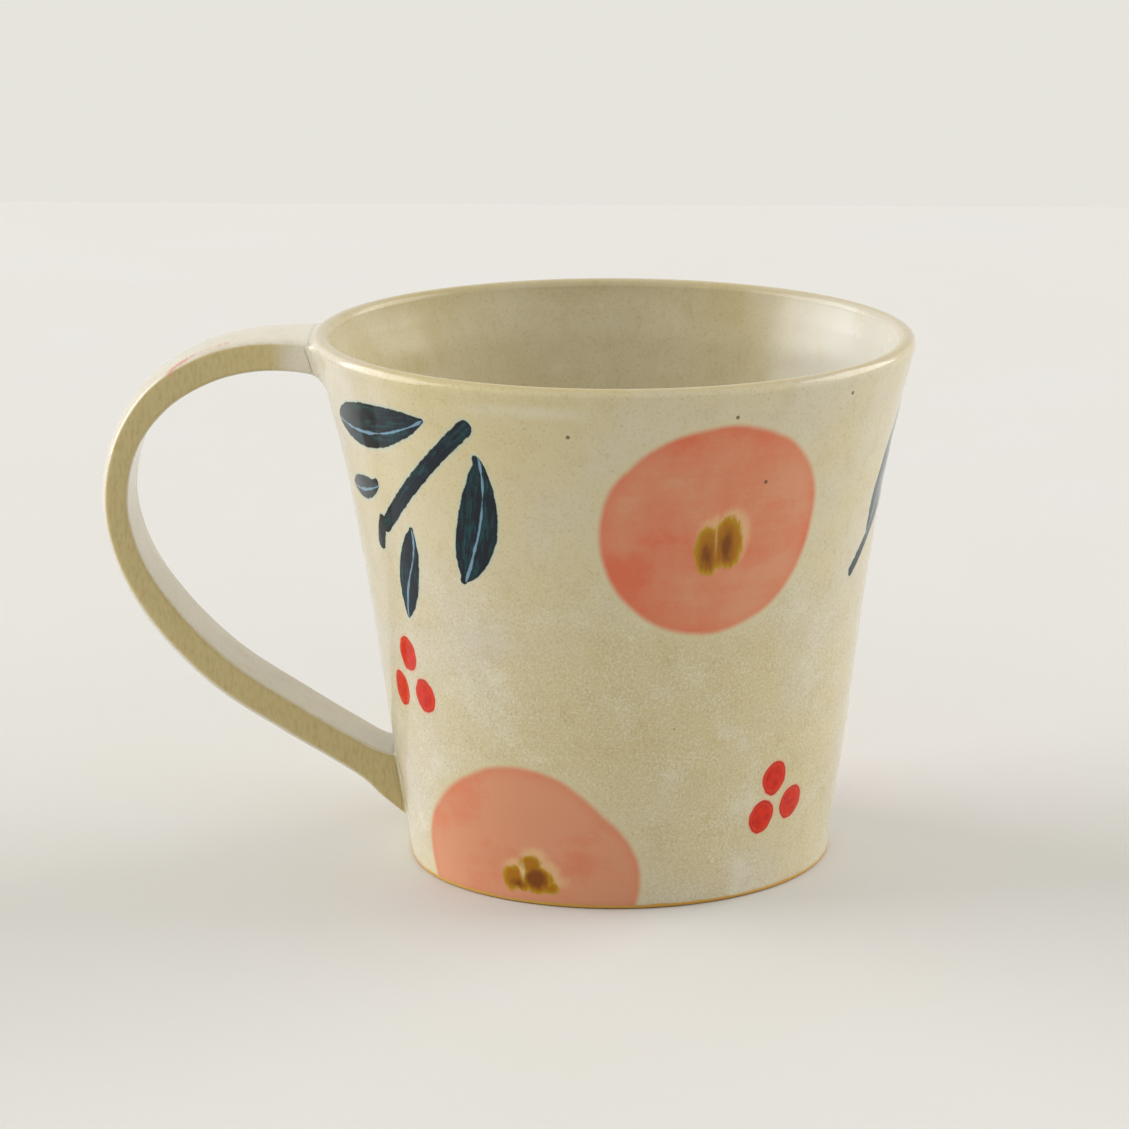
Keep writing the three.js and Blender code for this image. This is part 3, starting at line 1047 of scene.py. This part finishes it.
def strap_glaze():
    """Khaki on the strap's narrow sides and paler on its broad faces: partly the glaze's own colour,
    partly painted shade on the sides and painted light on the broad faces.
    """
    surface = Surface("handle_glaze")
    geometry = surface.tree.nodes.new("ShaderNodeNewGeometry")
    split = surface.tree.nodes.new("ShaderNodeSeparateXYZ")
    surface.tree.links.new(geometry.outputs["Normal"], split.inputs[0])
    sideways = abs(Wire(surface.tree, split.outputs[1]))
    colour = glaze_colour(surface, STRAP_LIT_PALE, CREAM)
    combed = noise(surface.place, 0.5, detail=3, roughness=0.6, seed=62, stretch=(1, 1, 3))
    khaki = tint(STRAP_SHADED_KHAKI, step(combed, 0.4, 0.75) * 0.6, COMBED_SHADE)
    # Near the upper joint the sides stay pale: glaze pooled there, and a painted highlight lies on its
    # fillet.
    at_top = step(surface.height, 50, 60)
    pooled_and_highlit = step(surface.x, JOINT_FADE_FROM, JOINT_FADE_TO) * at_top
    # Painted shade: the sides, found by the normal, take the darker khaki, and the broad faces stay pale
    # as painted light.
    shaded_sides = step(sideways, 0.55, 0.92) * (1 - pooled_and_highlit * 0.85)
    colour = paint(shaded_sides, colour, khaki)
    flecks = smallest([fleck_edge(surface, *fleck) for fleck in FLECKS])
    ragged = noise(surface.place, 0.8, detail=3, seed=63) - 0.5
    colour = paint(step(flecks + ragged * 0.9, 0.25, -0.35) * 0.7, colour, ROSE)
    return surface.finish(colour, glaze_roughness(surface), glaze_bumps(surface))


def bare_clay():
    surface = Surface("bare_clay")
    grain = noise(surface.place, 0.7, detail=4, roughness=0.7, seed=41)
    blush = noise(surface.place, 8, detail=2, seed=42)
    colour = paint(step(grain * 0.5 + blush * 0.6, 0.4, 0.75), BARE_CLAY, CLAY_DARK)
    return surface.finish(colour, 0.85, grain * 0.06, specular=0.3)


FLOOR_LIGHT = srgb(215, 214, 213)
FLOOR_WARM = srgb(214, 213, 210)


def floor_paint():
    surface = Surface("floor_paint")
    drift = noise(surface.place, 60, detail=4, roughness=0.6, seed=51)
    colour = paint(step(drift, 0.3, 0.7), FLOOR_LIGHT, FLOOR_WARM)
    plaster = noise(surface.place, 3, detail=4, roughness=0.7, seed=52)
    return surface.finish(colour, 0.7, plaster * 0.05, specular=0.25)


# ---- The studio ----------------------------------------------------------------------------

FLOOR_FRONT, FLOOR_BACK, FLOOR_SIDE = -3000, 648, 2500

# The view: where the camera looks, relative to the foot of the cup's axis, and from where.
AIM = Vector((-7.75, -0.2, 46.1))
VIEW_AZIMUTH, VIEW_ELEVATION, VIEW_DISTANCE = 1.6, 14.12, 656.9
SENSOR = 36.0
LENS = 131.17
NEAREST_SEEN, FARTHEST_SEEN = 50, 20000

SKY = srgb(230, 228, 221)  # what shows past the floor's far edge
ROOM_LIGHT = 0.95
ROOM = [
    # The room about the table: azimuth from, to, elevation from, to, brightness
    (46, 95, 0, 45, 1.5),
    (-75, 46, 22, 45, 1.75),
    (-75, 46, 0, 22, 0.03),
    (-190, 190, 45, 95, 0.6),
]
ROOM_SOFTNESS = 3
WINDOWS = [
    # name, azimuth, elevation, half width and half height in degrees, brightness
    ("window", -100, 20, 25, 20, 4.7),
    ("reflector", 114, 27, 21, 17, 3.7),
]
WINDOW_DISTANCE = 5000
WINDOW_AIM_HEIGHT = 40
WINDOW_COLOUR = (1.0, 0.99, 0.97)


def direction(azimuth, elevation):
    """From the object towards a place seen at that azimuth, 0 being -Y and 90 being +X."""
    a, e = math.radians(azimuth), math.radians(elevation)
    return Vector((math.sin(a) * math.cos(e), -math.cos(a) * math.cos(e), math.sin(e)))


def make_floor():
    corners = [
        Vector((-FLOOR_SIDE, FLOOR_FRONT, 0)),
        Vector((FLOOR_SIDE, FLOOR_FRONT, 0)),
        Vector((FLOOR_SIDE, FLOOR_BACK, 0)),
        Vector((-FLOOR_SIDE, FLOOR_BACK, 0)),
    ]
    floor = new_mesh("floor", corners, [(0, 1, 2, 3)], flat={0})
    floor.data.materials.append(floor_paint())


def make_camera():
    camera = bpy.data.objects.new("camera", bpy.data.cameras.new("camera"))
    bpy.context.scene.collection.objects.link(camera)
    camera.data.sensor_width = SENSOR
    camera.data.lens = LENS
    back = direction(VIEW_AZIMUTH, VIEW_ELEVATION)
    camera.location = (AIM + Vector((AXIS_X, 0, 0)) + back * VIEW_DISTANCE) * METRES
    camera.rotation_euler = (-back).to_track_quat("-Z", "Y").to_euler()
    camera.data.clip_start = NEAREST_SEEN * METRES
    camera.data.clip_end = FARTHEST_SEEN * METRES
    bpy.context.scene.camera = camera


def make_window(name, azimuth, elevation, half_width, half_height, brightness):
    """A rectangle of light, sized by how large it looks from the mug."""
    light = bpy.data.lights.new(name, "AREA")
    light.shape = "RECTANGLE"
    light.size = 2 * WINDOW_DISTANCE * METRES * math.tan(math.radians(half_width))
    light.size_y = 2 * WINDOW_DISTANCE * METRES * math.tan(math.radians(half_height))
    light.energy = brightness * math.pi * light.size * light.size_y
    light.color = WINDOW_COLOUR
    window = bpy.data.objects.new(name, light)
    bpy.context.scene.collection.objects.link(window)
    towards = direction(azimuth, elevation)
    window.location = (towards * WINDOW_DISTANCE + Vector((AXIS_X, 0, WINDOW_AIM_HEIGHT))) * METRES
    window.rotation_euler = towards.to_track_quat("Z", "Y").to_euler()


def make_room():
    """The world: walls of different brightness, and below the table's level an even backdrop."""
    world = bpy.data.worlds.new("room")
    bpy.context.scene.world = world
    world.use_nodes = True
    tree = world.node_tree
    coordinates = tree.nodes.new("ShaderNodeTexCoord")
    split = tree.nodes.new("ShaderNodeSeparateXYZ")
    tree.links.new(coordinates.outputs["Generated"], split.inputs[0])
    x, y, z = (Wire(tree, output) for output in split.outputs)
    azimuth = x.math("ARCTAN2", y * -1) * (180 / math.pi)
    elevation = z.math("ARCSINE") * (180 / math.pi)
    light, soft = ROOM_LIGHT, ROOM_SOFTNESS
    for left, right, low, high, brightness in ROOM:
        across = step(azimuth, left - soft, left + soft) * step(azimuth, right + soft, right - soft)
        up = step(elevation, low - soft, low + soft) * step(elevation, high + soft, high - soft)
        light = paint_number(across * up, light, brightness)
    above = step(elevation, -1, 1)
    background = tree.nodes["Background"]
    background.inputs["Color"].default_value = (*SKY, 1)
    connect(tree, paint_number(above, 1, light), background.inputs["Strength"])


make_camera()
make_floor()
make_room()
for window in WINDOWS:
    make_window(*window)
bpy.context.scene.view_settings.view_transform = "Standard"

# ---- The mug -------------------------------------------------------------------------------


def dress(piece, slot, materials, *nodes):
    for material in materials:
        piece.data.materials.append(material)
    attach(piece, "root")
    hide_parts(*nodes)


upper_starts, upper_hits = seam(0, UPPER_FILLET)
lower_starts, lower_hits = seam(1, LOWER_FILLET)

dress(
    make_cup(),
    "cup_glaze",
    [painted_glaze(), inner_glaze(), bare_clay()],
    "cup_body",
)
handle_glaze = strap_glaze()
dress(make_strap(upper_starts, lower_starts), "handle_glaze", [handle_glaze], "handle_strap")
dress(
    make_joint("upper_joint", 0, UPPER_FILLET, upper_starts, upper_hits),
    "joint_glaze",
    [handle_glaze],
    "upper_slip_joint",
)
dress(
    make_joint("lower_joint", 1, LOWER_FILLET, lower_starts, lower_hits),
    "joint_glaze",
    [handle_glaze],
    "lower_slip_joint",
)
